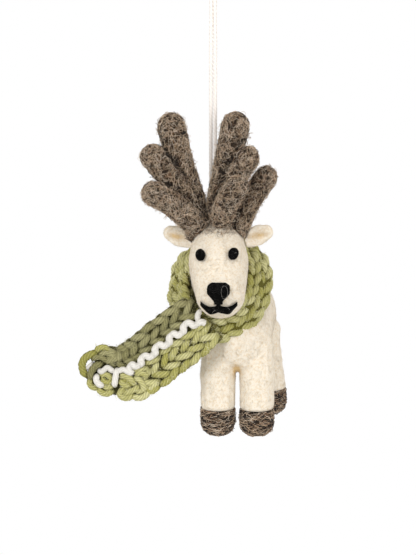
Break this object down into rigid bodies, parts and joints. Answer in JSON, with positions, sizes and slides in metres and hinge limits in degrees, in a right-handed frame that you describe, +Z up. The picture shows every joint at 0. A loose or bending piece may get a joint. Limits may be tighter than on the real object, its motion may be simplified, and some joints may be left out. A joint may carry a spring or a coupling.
{
  "type": "hanging felt reindeer ornament",
  "caption": "Soft felted reindeer ornament with brown antlers and hooves, wearing a green knitted scarf with a loose tail, hung from a looped string.",
  "frame": {"origin": "inside of the eye at the top of the string loop, where it hangs from a hook", "axes": "+Z up along the string, -Y the way the face looks, +X to the right of somebody who faces it"},
  "size_m": [0.0768, 0.0794, 0.179],
  "materials": {
    "cream_felt": "matte felted wool",
    "brown_felt": "matte heathered felted wool",
    "black_felt": "matte felted wool",
    "green_yarn": "knitted wool yarn",
    "olive_yarn": "knitted wool yarn",
    "white_yarn": "knitted wool yarn",
    "string_cotton": "twisted cotton string"
  },
  "bodies": {
    "hanging_loop": {"hanging_cord": "string_cotton"},
    "tie": {"tie_knot": "string_cotton"},
    "flex": {"flex_knot": "string_cotton"},
    "reindeer": {"torso": "cream_felt", "head": "cream_felt", "neck": "cream_felt", "tail_stub": "cream_felt", "leg_front_left": "cream_felt", "hoof_front_left": "brown_felt", "leg_front_right": "cream_felt", "hoof_front_right": "brown_felt", "leg_rear_left": "cream_felt", "hoof_rear_left": "brown_felt", "leg_rear_right": "cream_felt", "hoof_rear_right": "brown_felt", "antler_left_beam": "brown_felt", "antler_right_beam": "brown_felt", "antler_left_mid": "brown_felt", "antler_left_low": "brown_felt", "antler_right_mid": "brown_felt", "antler_right_outer": "brown_felt", "antler_right_front": "brown_felt", "ear_left": "cream_felt", "ear_right": "cream_felt", "eye_left": "black_felt", "eye_right": "black_felt", "nose": "black_felt", "mouth": "black_felt", "anchor_knot": "string_cotton", "scarf_wrap_light": "green_yarn", "scarf_wrap_dark": "olive_yarn", "scarf_wrap_white": "white_yarn"},
    "scarf_tail_near": {"scarf_tail_near_dark": "olive_yarn", "scarf_tail_near_white": "white_yarn", "scarf_tail_near_light": "green_yarn"},
    "scarf_tail_far": {"scarf_tail_far_dark": "olive_yarn", "scarf_tail_far_white": "white_yarn", "scarf_tail_far_light": "green_yarn", "scarf_end_loop": "green_yarn", "scarf_stitch_inner": "white_yarn", "scarf_stitch_outer": "white_yarn"}
  },
  "joints": [
    {"name": "cord_twist", "type": "hinge", "parent": "hanging_loop", "child": "tie", "pos_m": [0, 0, -0.10138], "axis": [0, 0, 1], "continuous": true},
    {"name": "cord_swing_side", "type": "hinge", "parent": "tie", "child": "flex", "pos_m": [0, 0, -0.10138], "axis": [0, 1, 0], "range_deg": [-20, 20]},
    {"name": "cord_swing_fore", "type": "hinge", "parent": "flex", "child": "reindeer", "pos_m": [0, 0, -0.10138], "axis": [1, 0, 0], "range_deg": [-1, 20]},
    {"name": "scarf_tail_droop", "type": "hinge", "parent": "reindeer", "child": "scarf_tail_near", "pos_m": [-0.00289, -0.01775, -0.13234], "axis": [0, 1, 0], "range_deg": [-20, 15]},
    {"name": "scarf_tail_bend", "type": "hinge", "parent": "scarf_tail_near", "child": "scarf_tail_far", "pos_m": [-0.02694, -0.0174, -0.15076], "axis": [0.4547, 0, -0.8907], "range_deg": [-35, 35]}
  ]
}
